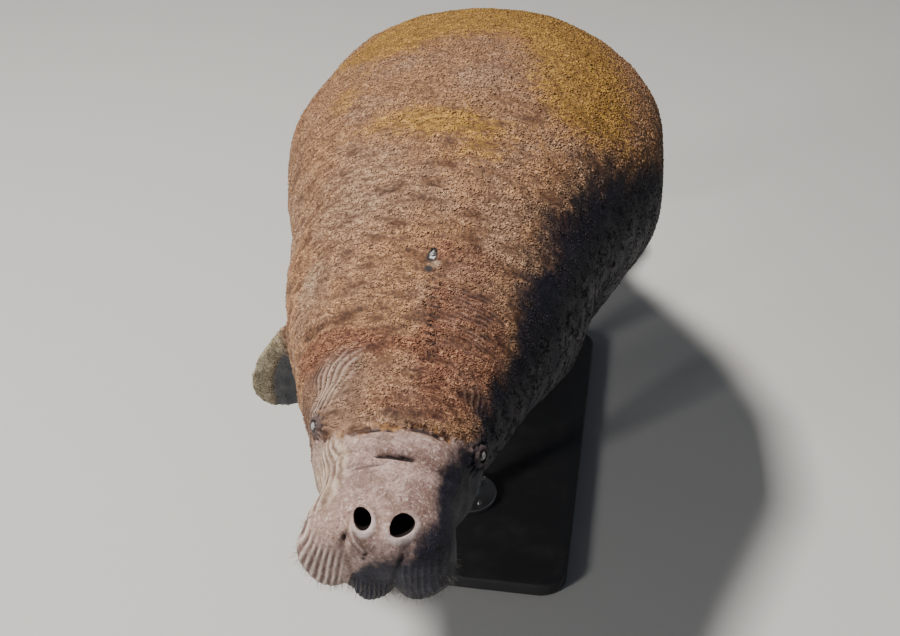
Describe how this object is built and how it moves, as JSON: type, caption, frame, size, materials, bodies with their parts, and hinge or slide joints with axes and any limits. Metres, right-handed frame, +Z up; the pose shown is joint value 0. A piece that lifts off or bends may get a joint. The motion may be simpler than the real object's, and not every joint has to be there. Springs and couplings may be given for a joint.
{
  "type": "manatee",
  "caption": "Life-size Florida manatee resting nose up, back arched and paddle tail hanging, held over a flat base by two short rods.",
  "frame": {"origin": "on the floor, under the middle of the whole model's box", "axes": "+Z up, +Y from the nose towards the tail, +X to the animal's left"},
  "size_m": [0.8634, 2.6988, 1.2055],
  "materials": {
    "bare_skin": "matt, finely wrinkled hide",
    "algae_skin": "rough hide under a film of golden-brown algae",
    "eye": "wet, dark",
    "nail": "horn, semi-gloss",
    "bristle": "stiff pale hair",
    "stand_base": "fine powder coat",
    "stand_rod": "satin"
  },
  "bodies": {
    "root": {"muzzle": "bare_skin", "lower_jaw": "bare_skin", "head": "bare_skin", "eye_left": "eye", "eye_right": "eye", "neck": "algae_skin", "chest": "algae_skin", "belly": "algae_skin", "rump": "algae_skin", "tail_stock": "algae_skin", "tail_paddle": "algae_skin", "flipper_left": "algae_skin", "flipper_right": "algae_skin", "stand_base": "stand_base", "stand_rod_front": "stand_rod", "stand_rod_rear": "stand_rod"}
  },
  "joints": []
}
